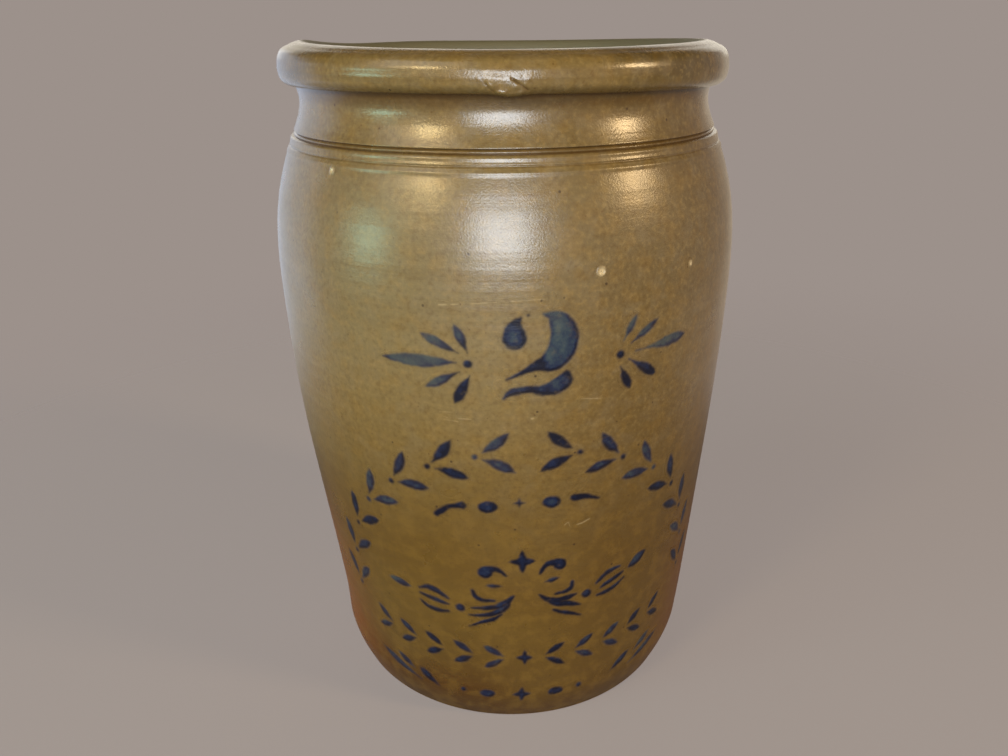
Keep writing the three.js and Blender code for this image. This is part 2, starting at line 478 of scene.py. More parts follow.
def glaze_gloss(tree):
    """Roughness: the neck and the rim are glossier than the body, the lip inside the rim is matt."""
    level = tree.add("SeparateXYZ", Vector=tree.object).outputs["Z"]
    body = tree.range(tree.noise(40, detail=4), 0.3, 0.7, 0.27, 0.34)
    glossier = tree.range(level, (LINE_LEVEL - 8) * MM, (LINE_LEVEL + 4) * MM, 0.0, 0.045)
    matt = tree.math("MULTIPLY", tree.attribute("lip_and_painted_reflection"), 0.45)
    return tree.math("ADD", tree.math("SUBTRACT", body, glossier), matt)


def make_glaze():
    tree = Tree("salt_glaze")
    colour = glaze_colour(tree)
    # Grey-green lip inside the rim: partly a thin glaze, partly a painted reflection on the dark slip
    colour = tree.mix(tree.attribute("lip_and_painted_reflection"), colour, srgb(94, 88, 62))
    # Darker glaze with painted shade: in the incised lines, under the rim and in the rim's crack and fold
    colour = tree.mix(tree.attribute("dark_glaze_and_shade"), colour, srgb(68, 42, 6))
    return glazed(tree, colour)


def glazed(tree, colour):
    """Finishes a material as this colour under the salt glaze."""
    tree.shader.inputs["IOR"].default_value = GLAZE_IOR
    tree.put(tree.shader.inputs["Base Color"], colour)
    tree.put(tree.shader.inputs["Roughness"], glaze_gloss(tree))
    tree.put(tree.shader.inputs["Normal"], glaze_relief(tree))
    return tree.material


def make_paint():
    """Cobalt under the same glaze, darker where it pooled and thin in the middle of broad strokes."""
    tree = Tree("cobalt_under_glaze")
    clay = glaze_colour(tree)
    pooled = tree.attribute("pooled")
    cloud = tree.range(tree.noise(190, detail=4, roughness=0.6), 0.3, 0.7, -0.22, 0.22)
    cobalt = tree.ramp(tree.math("ADD", pooled, cloud), [
        (0.0, srgb(62, 73, 73)),
        (0.3, srgb(42, 55, 66)),
        (0.55, srgb(16, 28, 56)),
        (0.9, srgb(3, 6, 27)),
    ])
    patch = tree.range(tree.noise(330, detail=3), 0.28, 0.45, 0.88, 1.0)
    cover = tree.math("MULTIPLY", tree.attribute("cover"), patch)
    colour = tree.mix(cover, clay, cobalt)
    colour = tree.mix(tree.attribute("worn"), colour, srgb(206, 184, 140))
    return glazed(tree, colour)


def make_slip():
    """Thin dark brown slip over the inside, paler where it ran off the throwing rings."""
    tree = Tree("slip_glaze")
    runs = tree.noise(1.0, detail=4, stretch=(46, 46, 9))
    colour = tree.ramp(tree.range(runs, 0.25, 0.75), [
        (0.0, srgb(38, 23, 14)),
        (0.6, srgb(62, 38, 21)),
        (1.0, srgb(92, 60, 32)),
    ])
    colour = tree.mix(speckle(tree, 240, 0.2, 0.12), colour, srgb(24, 15, 10))
    tree.put(tree.shader.inputs["Base Color"], colour)
    tree.put(tree.shader.inputs["Roughness"], tree.range(tree.noise(55), 0.3, 0.7, 0.2, 0.36))
    tree.put(tree.shader.inputs["Normal"], tree.bump(tree.noise(480, detail=3), 0.15, 0.0004))
    return tree.material


def make_bare_clay():
    """Dry underside: gritty buff clay with brown flashing."""
    tree = Tree("bare_clay")
    colour = tree.ramp(tree.noise(26, detail=5, roughness=0.6), [
        (0.25, srgb(120, 92, 58)),
        (0.5, srgb(158, 132, 96)),
        (0.8, srgb(182, 160, 124)),
    ])
    colour = tree.mix(speckle(tree, 300, 0.25, 0.2), colour, srgb(92, 64, 38))
    tree.put(tree.shader.inputs["Base Color"], colour)
    tree.put(tree.shader.inputs["Roughness"], tree.range(tree.noise(80), 0.3, 0.7, 0.75, 0.95))
    tree.put(tree.shader.inputs["Normal"], tree.bump(tree.noise(900, detail=5), 0.5, 0.0006))
    return tree.material


GLAZE = make_glaze()
PAINT = make_paint()
SLIP = make_slip()
BARE_CLAY = make_bare_clay()


# Clay pieces

def even_turn(columns=TURN_STEPS):
    return np.arange(columns) * 2 * np.pi / columns


def dressed(node):
    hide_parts(node)


def dark_lines(levels):
    """Glaze gathered in the incised lines, with painted shade in their cuts, from 0 to 1."""
    strip = 0.35 * (1 - smooth_step(GROOVE_HALF, GROOVE_HALF + CUT_HALF, np.abs(levels - LINE_LEVEL)))
    fine = np.abs(levels - (LINE_LEVEL - FINE_LINE_DROP))
    fine = 0.3 * (1 - smooth_step(0, FINE_LINE_HALF, fine))
    return np.maximum(np.maximum(strip, fine), 0.85 * groove_cuts(levels))


def shaded(rows, theta, dark_glaze_and_shade):
    """Attributes of a turned piece whose first rows carry darker glaze and painted shade."""
    dark_glaze_and_shade = np.pad(dark_glaze_and_shade, (0, len(rows) - len(dark_glaze_and_shade)))
    dark_glaze_and_shade = np.repeat(dark_glaze_and_shade, len(theta))
    return {"dark_glaze_and_shade": dark_glaze_and_shade, "lip_and_painted_reflection": np.zeros(len(dark_glaze_and_shade))}


def make_wall():
    theta = even_turn()
    fine_low = LINE_LEVEL - RIDGE_DROPS[-1] - 2.5
    levels = np.concatenate([
        np.arange(FOOT_ROUND, fine_low, WALL_STEP),
        np.arange(fine_low, LINE_LEVEL, LINE_STEP),
        [LINE_LEVEL],
    ])
    foot_turn = np.linspace(0, np.pi / 2, 5)[:-1]
    rows = [
        (outer_radius(theta, FOOT_ROUND) - FOOT_ROUND * (1 - np.sin(turn)), FOOT_ROUND * (1 - np.cos(turn)))
        for turn in foot_turn
    ]
    rows += [(outer_radius(theta, z), z) for z in levels]
    dark_glaze_and_shade = np.concatenate([np.zeros(len(foot_turn)), dark_lines(levels)])
    rows += [(inner_radius(theta, z), z) for z in np.linspace(LINE_LEVEL, COVE_LEVEL, 24)]
    rows += [(r, z) for r, z in bezier([
        (inner_radius(0, COVE_LEVEL), COVE_LEVEL),
        (inner_radius(0, COVE_LEVEL), FLOOR_LEVEL),
        (SEAT_RADIUS, FLOOR_LEVEL),
    ], 7)[1:]]
    rows += [(FOOT_INNER_RADIUS, FLOOR_LEVEL), (FOOT_INNER_RADIUS, 0.25), (FOOT_INNER_RADIUS + 1.0, 0.0)]
    piece = turned_ring("wall_glazed", theta, rows, GLAZE, shaded(rows, theta, dark_glaze_and_shade))
    dressed("body_wall")


def make_neck():
    theta = even_turn()
    levels = np.concatenate([
        np.arange(LINE_LEVEL, LINE_LEVEL + 2, LINE_STEP),
        np.arange(LINE_LEVEL + 2, NECK_TOP, NECK_STEP),
        [NECK_TOP],
    ])
    rows = [(outer_radius(theta, z), z) for z in levels]
    # Painted shade under the overhanging rim, over a slightly darker band of glaze: the top of the neck is
    # darkened in colour
    under_rim = 0.28 * smooth_step(CREASE_LEVEL - 1.2, CREASE_LEVEL + 0.4, levels)
    under_rim = under_rim + 0.58 * smooth_step(CREASE_LEVEL - 6.5, CREASE_LEVEL - 1, levels)
    dark_glaze_and_shade = np.maximum(dark_lines(levels), under_rim)
    rows += [(inner_radius(theta, z), z) for z in np.linspace(NECK_TOP, LINE_LEVEL, 10)]
    piece = turned_ring("neck_glazed", theta, rows, GLAZE, shaded(rows, theta, dark_glaze_and_shade))
    dressed("neck_collar")


# The rolled rim's section as (radius, level): underside, roll, land, inner lip
RIM_SECTION = [
    (NECK_RADIUS - 0.4, CREASE_LEVEL - 0.1),
    (NECK_RADIUS + 2.6, CREASE_LEVEL),
    (RIM_RADIUS - 3.2, CREASE_LEVEL + 0.6),
    (RIM_RADIUS - 1.4, CREASE_LEVEL + 1.8),
    (RIM_RADIUS - 0.4, CREASE_LEVEL + 3.6),
    (RIM_RADIUS, CREASE_LEVEL + 6.2),
    (RIM_RADIUS - 0.2, CREASE_LEVEL + 8.8),
    (RIM_RADIUS - 0.8, CREASE_LEVEL + 11.0),
    (RIM_RADIUS - 1.9, CREASE_LEVEL + 12.7),
    (RIM_RADIUS - 3.4, CREASE_LEVEL + 13.8),
    (RIM_RADIUS - 5.4, CREASE_LEVEL + 14.6),
    (MOUTH_RADIUS + 9.4, TOP_LEVEL - 0.6),
    (MOUTH_RADIUS + 6.6, TOP_LEVEL),
    (MOUTH_RADIUS + 3.4, TOP_LEVEL - 0.2),
    (MOUTH_RADIUS + 1.0, TOP_LEVEL - 1.8),
    (MOUTH_RADIUS, TOP_LEVEL - 5.0),
    (MOUTH_RADIUS, CREASE_LEVEL),
]


# The lap at the front of the rim, where the ends of the clay roll were smeared together,
# with a crack and a fold as (across, level) points
LAP_HALF = 10.5
LAP_LOW = CREASE_LEVEL + 0.6
LAP_HIGH = CREASE_LEVEL + 11.0
LAP_SWELL = 0.9
LAP_SPREAD = 13.0
LAP_ROUGH = 0.16
CRACK = [(2.6, CREASE_LEVEL + 6.6), (5.2, CREASE_LEVEL + 4.8), (8.4, CREASE_LEVEL + 2.2)]
CRACK_HALF = 0.32
CRACK_DEPTH = 0.42
FOLD = [(-6.2, CREASE_LEVEL + 4.6), (-5.1, CREASE_LEVEL + 2.9), (-3.2, CREASE_LEVEL + 1.5)]
FOLD_DEPTH = 0.35
BEAD = [(-2.0, CREASE_LEVEL + 1.3), (2.5, CREASE_LEVEL + 0.8), (6.0, CREASE_LEVEL + 1.2)]
BEAD_HALF = 1.1
BEAD_HEIGHT = 0.9
BEAD_PLACE = 2.4
BEAD_REACH = 5.2
BEAD_DROP = 0.9


def segment_distance(across, level, start, end):
    """Distance from places to a straight piece between two points, and the share along it."""
    sx, sz = start
    ex, ez = end
    length = (ex - sx) ** 2 + (ez - sz) ** 2
    share = np.clip(((across - sx) * (ex - sx) + (level - sz) * (ez - sz)) / max(length, 1e-9), 0, 1)
    return np.hypot(across - sx - share * (ex - sx), level - sz - share * (ez - sz)), share


def line_mark(across, level, points, half):
    """How close places lie to a line through points, from 0 to 1."""
    away = np.min([segment_distance(across, level, a, b)[0] for a, b in zip(points, points[1:])], axis=0)
    return np.exp(-((away / half) ** 2))


def rim_place(theta, radius, level):
    """Uneven radius of the rim at a point of its section, with the lap, and how dark its marks are."""
    outward = smooth_step(NECK_RADIUS + 1, RIM_RADIUS - 1, radius)
    across = theta * RIM_RADIUS
    rise = np.clip((LAP_HIGH - level) / (LAP_HIGH - LAP_LOW), 0, 1)
    swell = LAP_SWELL * rise * np.exp(-((across / LAP_SPREAD) ** 2))
    swell = swell * smooth_step(NECK_RADIUS + 2, RIM_RADIUS - 3, radius)
    ragged = 2.2 * lumps(theta, level, 4.0, 11)
    smear = (1 - smooth_step(LAP_HALF - 4, LAP_HALF, np.abs(across) + ragged)) * rise * outward
    rough = LAP_ROUGH * (lumps(theta, level, 2.4, 12) + 0.6 * lumps(theta, level, 1.1, 13))
    crack = line_mark(across, level, CRACK, CRACK_HALF) * outward
    fold = line_mark(across, level, FOLD, CRACK_HALF) * outward
    bead = line_mark(across, level, BEAD, BEAD_HALF) * outward
    turned = 0.05 * np.sin(2 * np.pi * level / 3.1 + 0.5 * theta) * (0.6 - 0.4 * np.sin(theta)) * outward
    lapped = radius + turned + swell + smear * rough
    lapped = lapped + BEAD_HEIGHT * bead - CRACK_DEPTH * crack - FOLD_DEPTH * fold
    return lapped, np.maximum(0.75 * crack, 0.45 * fold)


def rim_wave(theta, rise):
    """How far the uneven rim stands above its true level, by angle and share of its height."""
    signed = (theta + np.pi) % (2 * np.pi) - np.pi
    lift = 1.1 - 0.95 * np.cos(theta) - 0.55 * np.sin(theta) - 0.85 * np.cos(2 * theta)
    lift = lift - 1.5 * np.exp(-(((signed + 2.1) / 0.4) ** 2))
    lift = lift + 0.6 * np.exp(-(((signed + 1.45) / 0.25) ** 2))
    sag = 0.2 + 0.7 * np.cos(theta) - 0.85 * np.sin(theta)
    sag = sag - BEAD_DROP * np.exp(-(((signed * RIM_RADIUS - BEAD_PLACE) / BEAD_REACH) ** 2))
    return between(sag, lift, rise)


def rim_share(level):
    return (level - CREASE_LEVEL) / (TOP_LEVEL - CREASE_LEVEL)


def make_rim():
    front = np.linspace(-LAP_HALF_ANGLE, LAP_HALF_ANGLE, LAP_COLUMNS)
    others = round(TURN_STEPS * (1 - LAP_HALF_ANGLE / np.pi))
    back = np.linspace(front[-1], front[0] + 2 * np.pi, others + 2)[1:-1]
    theta = np.concatenate([front, back])
    signed = (theta + np.pi) % (2 * np.pi) - np.pi
    swell = oval_swell(theta)
    wave = 0.24 * np.sin(3 * theta + 0.5) + 0.12 * np.sin(7 * theta + 1.9)
    rows = []
    lip_and_painted_reflection = []
    dark_glaze_and_shade = []
    for radius, level in through(RIM_SECTION, RIM_ARC_STEPS):
        outward = smooth_step(NECK_RADIUS + 1, RIM_RADIUS - 1, radius)
        under = 1 - smooth_step(CREASE_LEVEL, CREASE_LEVEL + 4, level)
        place, marks = rim_place(signed, radius, level)
        rows.append((place + swell + wave * outward, level + rim_wave(theta, rim_share(level))))
        # Grey-green, matt lip inside the rim, partly a painted reflection
        inner = 1 - smooth_step(MOUTH_RADIUS + 3.0, MOUTH_RADIUS + 7.0, radius)
        lip_and_painted_reflection.append(np.full(len(theta), inner))
        # Painted shade: the underside of the roll is darkened in colour where it tucks against the neck;
        # the crack and fold are darkened in colour as well
        tucked_shade = 0.9 * (1 - smooth_step(NECK_RADIUS, NECK_RADIUS + 5, radius)) * under
        dark_glaze_and_shade.append(np.maximum(marks, tucked_shade * np.ones(len(theta))))
    attributes = {"lip_and_painted_reflection": np.concatenate(lip_and_painted_reflection), "dark_glaze_and_shade": np.concatenate(dark_glaze_and_shade)}
    piece = turned_ring("rim_glazed", theta, rows, GLAZE, attributes)
    dressed("rim_roll")


def make_floor():
    """Clay disc with the arcs left by the cutting wire on its underside."""
    theta = even_turn(192)
    wire_x, wire_y = -46.0, 62.0
    rows = [(0, 0.3)]
    for radius in np.linspace(1.0, FOOT_INNER_RADIUS - 0.6, 72):
        x = radius * np.sin(theta)
        y = -radius * np.cos(theta)
        arc = np.hypot(x - wire_x, y - wire_y)
        rows.append((radius, 0.32 + 0.16 * np.sin(2 * np.pi * arc / 4.1)))
    edge = FOOT_INNER_RADIUS - 0.05
    rows += [(edge, 0.7), (edge, FLOOR_LEVEL - 0.4), (edge - 0.4, FLOOR_LEVEL), (0, FLOOR_LEVEL)]
    piece = turned_bowl("floor_clay", theta, rows, BARE_CLAY)
    dressed("floor_disc")


def make_lining():
    theta = even_turn(192)
    depth = 0.05

    def cove(inset):
        return bezier([
            (SEAT_RADIUS - inset, FLOOR_LEVEL + inset),
            (inner_radius(0, COVE_LEVEL, inset), FLOOR_LEVEL + inset),
            (inner_radius(0, COVE_LEVEL, inset), COVE_LEVEL),
        ], 10)

    def side(inset, top):
        levels = np.concatenate([np.arange(COVE_LEVEL + 1.5, CREASE_LEVEL, 1.5), [CREASE_LEVEL]])
        rows = [(inner_radius(theta, z, inset), z) for z in levels]
        return rows + [(inner_radius(theta, CREASE_LEVEL, inset), top + rim_wave(theta, rim_share(top)))]

    face = depth + LINING
    floor_spread = np.linspace(0.1, 0.94, 12) * SEAT_RADIUS
    rows = [(0, FLOOR_LEVEL + depth)]
    rows += [(r, z) for r, z in cove(depth)]
    rows += side(depth, LINING_TOP)
    rows += side(face, LINING_TOP - 1.0)[::-1]
    rows += [(r, z) for r, z in cove(face)[::-1]]
    spiral = 0.25 * np.sin(floor_spread[::-1] / 2.4)
    rows += [(r, FLOOR_LEVEL + face + bump) for r, bump in zip(floor_spread[::-1], spiral)]
    rows += [(0, FLOOR_LEVEL + face)]
    piece = turned_bowl("lining_slip", theta, rows, SLIP)
    dressed("slip_lining")


# Painted ornament, as strokes of (across, level, half width),
# each with one weight of colour or several along it

def stroke(points, weight=1.0, steps=22):
    return through(points, steps), weight


def dot(across, level, radius, weight=1.0):
    return np.array([(across, level, radius), (across + 0.01, level, radius)]), weight


def leaf(start, end, half, weight=1.0, widest=0.6, bend=0.0):
    """A pointed leaf between two points, widest at a share of its length."""
    t = np.linspace(0, 1, 18)
    start, end = np.array(start, float), np.array(end, float)
    skew = t ** (math.log(0.5) / math.log(widest))
    width = half * np.sin(np.pi * skew) ** 0.85
    along = start + (end - start) * t[:, None]
    sideways = np.array([start[1] - end[1], end[0] - start[0]])
    along = along + sideways * (bend * np.sin(np.pi * t))[:, None]
    return np.column_stack([along, np.maximum(width, 0.12)]), weight


def oval(across, level, half_length, half_height, tilt=0.0, weight=1.0):
    reach = half_length - half_height
    u = np.linspace(-1, 1, 9)
    turn = math.radians(tilt)
    width = half_height * (1 - 0.25 * u**2)
    along = across + reach * u * math.cos(turn)
    return np.column_stack([along, level + reach * u * math.sin(turn), width]), weight


def lozenge(across, level, half_wide, half_high, weight=1.0):
    """A four-pointed diamond with hollow sides."""
    slim = 0.36
    return [
        leaf((across - half_wide, level), (across + half_wide, level), half_high * slim, weight, 0.5),
        leaf((across, level - half_high), (across, level + half_high), half_wide * slim, weight, 0.5),
        dot(across, level, min(half_wide, half_high) * 0.52, weight),
    ]


def along_stroke(weight, count):
    """Weights at the points of a stroke, from one value or a few spread along it."""
    values = np.atleast_1d(weight)
    return np.interp(np.linspace(0, 1, count), np.linspace(0, 1, len(values)), values)


def painted(name, strokes, cell=0.5, wear=None, relief=None, feather=PAINT_FEATHER):
    """A thin closed patch over the wall with a group of soft-edged strokes, in cobalt or as pale wear."""
    every = np.vstack([points for points, _ in strokes])
    low = (every[:, :2] - every[:, 2:]).min(0) - PAINT_MARGIN
    high = (every[:, :2] + every[:, 2:]).max(0) + PAINT_MARGIN
    across = np.arange(low[0], high[0], cell)
    level = np.arange(low[1], high[1], cell)
    s, z = np.meshgrid(across, level)
    edge = np.full(s.shape, 1e3)
    weight_at = np.ones(s.shape)
    core = np.zeros(s.shape)
    for points, weight in strokes:
        reach = points[:, 2].max() + PAINT_MARGIN
        weights = along_stroke(weight, len(points))
        columns = (across > points[:, 0].min() - reach) & (across < points[:, 0].max() + reach)
        lines = (level > points[:, 1].min() - reach) & (level < points[:, 1].max() + reach)
        window = np.ix_(lines, columns)
        for a, b, first, last in zip(points, points[1:], weights, weights[1:]):
            away, share = segment_distance(s[window], z[window], a[:2], b[:2])
            half = between(a[2], b[2], share)
            nearer = away - half < edge[window]
            edge[window] = np.where(nearer, away - half, edge[window])
            weight_at[window] = np.where(nearer, between(first, last, share), weight_at[window])
            core[window] = np.where(nearer, half, core[window])
    theta = s / PAINT_RADIUS
    edge = edge + 0.22 * lumps(theta, z, 2.6, 21) + 0.12 * lumps(theta, z, 1.2, 22)
    rise, run = np.gradient(np.clip(edge, -9, 9), cell)
    toward_lower_right = np.clip(0.62 * run - 0.78 * rise, -1, 1)  # cobalt darker towards the lower right of a stroke
    body = 1 - smooth_step(-feather, feather, edge)
    halo = 1 - smooth_step(-feather, PAINT_MARGIN - 0.2, edge)
    bank = np.exp(-(((edge + 0.6) / 0.8) ** 2))
    thin = 1 - smooth_step(2.4, 4.8, core)
    cover = (0.85 * body + 0.15 * halo) * np.minimum(0.82 + 0.18 * weight_at, 1)
    pooled = (0.26 + 0.42 * thin + bank * (0.34 + 0.3 * toward_lower_right)) * weight_at
    shown = cover > 0.01
    kept = shown[:-1, :-1] | shown[1:, :-1] | shown[:-1, 1:] | shown[1:, 1:]
    for _ in range(3):
        slash = kept[:-1, :-1] & kept[1:, 1:] & ~kept[1:, :-1] & ~kept[:-1, 1:]
        back = ~kept[:-1, :-1] & ~kept[1:, 1:] & kept[1:, :-1] & kept[:-1, 1:]
        kept[1:, :-1] |= slash
        kept[:-1, :-1] |= back
    if wear is None:
        return patch(name, s, z, kept, cover, np.clip(pooled, 0, 1), cover * 0, relief)
    return patch(name, s, z, kept, cover * 0, pooled * 0, body * wear, relief)


def patch(name, s, z, kept, cover, pooled, worn, relief):
    """Closed slab over the kept cells of a grid: a painted face, a back inside the clay and its edges."""
    used = np.zeros(s.shape, bool)
    for dy in (0, 1):
        for dx in (0, 1):
            used[dy:dy + kept.shape[0], dx:dx + kept.shape[1]] |= kept
    number = np.full(s.shape, -1)
    number[used] = np.arange(used.sum())
    theta = s[used] / PAINT_RADIUS
    radius = outer_radius(theta, z[used])
    lift = PAINT_PROUD + (relief(s[used], z[used]) if relief else 0.0)
    face = around(theta, radius + lift, z[used])
    back = around(theta, radius - PAINT_SUNK, z[used])
    count = len(face)
    faces = []
    beside = np.pad(kept, 1)
    for i, j in np.argwhere(kept):
        a, b, c, d = number[i, j], number[i, j + 1], number[i + 1, j + 1], number[i + 1, j]
        faces.append((a, b, c, d))
        faces.append((d + count, c + count, b + count, a + count))
        neighbours = ((i, j + 1), (i + 1, j + 2), (i + 2, j + 1), (i + 1, j))
        for near, p, q in zip(neighbours, (a, b, c, d), (b, c, d, a)):
            if not beside[near]:
                faces.append((q, p, p + count, q + count))
    both = [np.tile(values[used], 2) for values in (cover, pooled, worn)]
    attributes = dict(zip(("cover", "pooled", "worn"), both))
    piece = add_object(name, np.vstack([face, back]), faces, PAINT, attributes)
    return piece


def make_numeral():
    painted("numeral_two", [
        dot(3.0, 205.1, 4.4, 1.6),
        stroke([(2.9, 206.4, 4.2), (2.8, 208.8, 3.3), (3.7, 211.2, 1.8), (5.2, 213.2, 0.5)], 1.3),
        dot(7.9, 214.2, 0.5, 0.9),
        stroke([
            (13.4, 214.5, 0.5), (16.6, 213.6, 1.8), (19.0, 211.6, 3.7), (20.9, 207.6, 5.0),
            (20.8, 202.4, 5.6), (19.4, 198.6, 5.3), (16.4, 195.6, 4.2), (11.6, 194.1, 2.3),
            (8.0, 192.5, 1.4), (4.4, 190.7, 0.8), (1.8, 189.4, 0.5), (-0.1, 188.4, 0.3),
        ], (0.4, 0.55, 0.9, 1.0, 1.0, 1.1, 1.5, 1.2, 0.9, 0.9), 44),
        stroke([
            (-1.2, 180.6, 0.5), (0.6, 182.4, 1.1), (3.2, 183.6, 1.6), (8.4, 184.2, 1.6), (13.6, 183.6, 2.3),
            (18.2, 184.7, 3.3), (21.4, 186.8, 3.3), (22.4, 189.6, 1.7),
        ], (0.55, 0.75, 0.9, 0.85, 1.1), 36),
    ], cell=0.4)


def make_sprays():
    painted("spray_left", [
        dot(-14.2, 194.8, 1.6),
        leaf((-18.6, 195.2), (-48.0, 194.5), 2.7, (0.8, 0.42, 0.34, 0.38, 0.75), 0.52),
        leaf((-17.4, 199.1), (-31.6, 206.2), 1.8, (1.0, 0.5, 0.36, 0.5)),
        leaf((-14.2, 199.4), (-18.8, 210.5), 1.9, (1.1, 0.7, 0.4)),
        leaf((-17.4, 191.4), (-31.0, 184.0), 1.9, (1.0, 0.55, 0.32)),
        leaf((-13.6, 190.0), (-19.8, 178.0), 2.3, (0.9, 1.2, 1.2)),
    ], cell=0.4)
    painted("spray_right", [
        dot(43.9, 194.7, 1.6),
        leaf((51.0, 195.0), (77.2, 196.2), 2.4, (0.3, 0.3, 0.42, 0.9), 0.7),
        leaf((48.4, 198.7), (60.6, 206.4), 1.6, (0.75, 0.5, 0.5, 0.75)),
        leaf((45.0, 200.4), (50.1, 210.0), 1.6, (0.5, 0.42, 0.4)),
        leaf((47.9, 192.1), (61.6, 182.9), 2.3, (0.8, 0.8, 1.3), 0.66),
        leaf((44.3, 189.4), (49.4, 179.2), 2.0, (0.8, 1.0, 1.3)),
    ], cell=0.4)


def make_divider():
    painted("divider_marks", [
        stroke([
            (-31, 124.2, 1.4), (-28, 126.6, 1.6), (-25, 128.8, 1.1), (-22, 129.5, 1.3), (-19.4, 130, 1.8),
        ]),
        oval(-8.8, 129.7, 4.8, 3.0, 5),
        *lozenge(4.3, 131.7, 2.2, 2.2, 0.8),
        oval(17.7, 131.2, 4.7, 2.9, -3),
        stroke([(27.7, 132, 1.8), (31, 131.8, 1.6), (34.6, 131, 1.1), (38.8, 129.3, 0.4)]),
    ])


def make_scroll():
    painted("scroll_diamond", lozenge(5.0, 100.8, 5.6, 6.0))
    painted("scroll_left", [
        dot(-11.8, 94.8, 3.3),
        stroke([(-11.2, 96.0, 2.3), (-7.4, 96.7, 1.5), (-4.6, 95.3, 1.1), (-2.6, 93.1, 0.5)]),
        leaf((-11.4, 87.3), (-4.6, 87.1), 0.95, 0.8, 0.5),
        stroke([(-18.2, 83.5, 0.8), (-17.0, 80.4, 1.1), (-13.8, 78.5, 1.2), (-8.6, 78.5, 0.5)]),
        stroke([
            (0.5, 81.3, 0.5), (-2.8, 77.6, 1.8), (-8, 74.8, 1.5), (-14, 73.8, 1.0), (-19.5, 73.4, 0.4),
        ], 0.9),
        stroke([
            (-0.8, 78.6, 0.6), (-4.5, 74.0, 1.9), (-10, 70.6, 1.5), (-16, 69.3, 1.0), (-21, 68.8, 0.3),
        ], 0.9),
        stroke([(-5.5, 70.6, 0.6), (-9.5, 67.4, 1.2), (-15, 65.4, 0.9), (-21.4, 62, 0.3)]),
        dot(-25, 72.8, 2.2, 0.8),
        stroke([(-45, 79.6, 0.5), (-40.5, 81.3, 1.4), (-35.5, 80.2, 1.5), (-30.6, 76.9, 0.6)], 0.8),
        stroke([(-45, 76.4, 0.6), (-40, 75.4, 1.1), (-35, 74.4, 1.2), (-30.8, 73.7, 0.6)], 0.8),
        stroke([(-45.5, 72.2, 0.5), (-41.5, 69.4, 1.1), (-36.5, 68.6, 1.1), (-31.4, 69.2, 0.5)], 0.8),
        leaf((-62.8, 79.8), (-50.2, 78.6), 2.0, 0.55, 0.5),
    ])
    painted("scroll_right", [
        dot(21.8, 97.6, 3.2),
        stroke([(20.8, 98.7, 2.3), (17, 98.6, 1.6), (14.6, 96.6, 1.2), (12.9, 93.6, 0.5)]),
        leaf((15.0, 88.5), (21.8, 89.9), 1.1, 0.8, 0.5),
        stroke([(28, 86.4, 0.8), (27.6, 83.2, 1.2), (24.6, 81.3, 1.1), (20.0, 80.9, 0.5)]),
        stroke([(12.6, 81.3, 0.5), (16, 78.4, 1.5), (21, 77.0, 1.7), (26.5, 77.8, 1.5), (30, 78.6, 0.5)]),
        stroke([(16.5, 77.4, 0.8), (21, 75.2, 1.7), (27, 73.8, 1.5), (32.5, 71.8, 0.4)]),
        stroke([(19.3, 71.6, 0.5), (23.5, 69.4, 1.1), (28.5, 67.6, 1.0), (33, 65.4, 0.3)]),
        dot(35.6, 77.5, 2.4, 0.9),
        stroke([(40.6, 82.0, 0.5), (45, 85.8, 1.3), (49, 87.3, 1.3), (53, 87.6, 0.5)], 0.8),
        stroke([(43.2, 78.8, 0.5), (47, 80.4, 1.3), (51, 81.8, 1.3), (55.4, 83.4, 0.6)], 0.9),
        stroke([(41.4, 74.6, 0.5), (46, 75.2, 1.1), (51.5, 76.8, 1.2), (56, 79.8, 0.5)], 0.9),
        leaf((58.5, 84.6), (69.2, 90.4), 2.7, 0.85, 0.5),
    ])


# Leaf garland over the scroll, on an arc
ARCH_CENTRE = (8.0, 59.0)
ARCH_RADIUS = 97.0
ARCH_STEP = 12.5
ARCH_PAIRS = 7


def make_garland(name, side):
    strokes = []
    centre = np.array(ARCH_CENTRE)
    for k in range(ARCH_PAIRS):
        turn = math.radians(side * (ARCH_STEP * 0.62 + ARCH_STEP * k))
        out = np.array([math.sin(turn), math.cos(turn)])
        along = np.array([math.cos(turn), -math.sin(turn)]) * -side
        foot = centre + out * ARCH_RADIUS - along * 7.5
        weight = 0.78 + 0.2 * math.sin(2.1 * k + side)
        for way in (-1, 1):
            heading = math.cos(math.radians(33)) * along + way * math.sin(math.radians(33)) * out
            start = foot + heading * 3.0
            strokes.append(leaf(start, foot + heading * 17.0, 2.3, weight, 0.55, 0.04 * way * side))
        strokes.append(dot(*(foot - along * 0.6), 1.25, weight))
    painted(name, strokes, cell=0.6)


# Leaf swag under the scroll, and a short row of marks near the foot
SWAG_LEVEL = 43.5
SWAG_RISE = 0.00095
SWAG_CENTRE = 5.0
SWAG_STEP = 15.5
SWAG_PAIRS = 5
FOOT_ROW_LEVEL = 19.5


def make_swag(name, side):
    strokes = []
    for k in range(SWAG_PAIRS):
        offset = side * (9.0 + SWAG_STEP * k)
        slope = 2 * SWAG_RISE * offset
        along = np.array([1.0, slope]) * side / math.hypot(1, slope)
        out = np.array([-along[1], along[0]]) * side
        foot = np.array([SWAG_CENTRE + offset, SWAG_LEVEL + SWAG_RISE * offset**2])
        weight = 0.8 + 0.18 * math.sin(1.7 * k + 2 * side)
        for way in (-1, 1):
            heading = math.cos(math.radians(31)) * along + way * math.sin(math.radians(31)) * out
            strokes.append(leaf(foot + heading * 2.0, foot + heading * 13.0, 1.9, weight, 0.55))
    painted(name, strokes, cell=0.6)


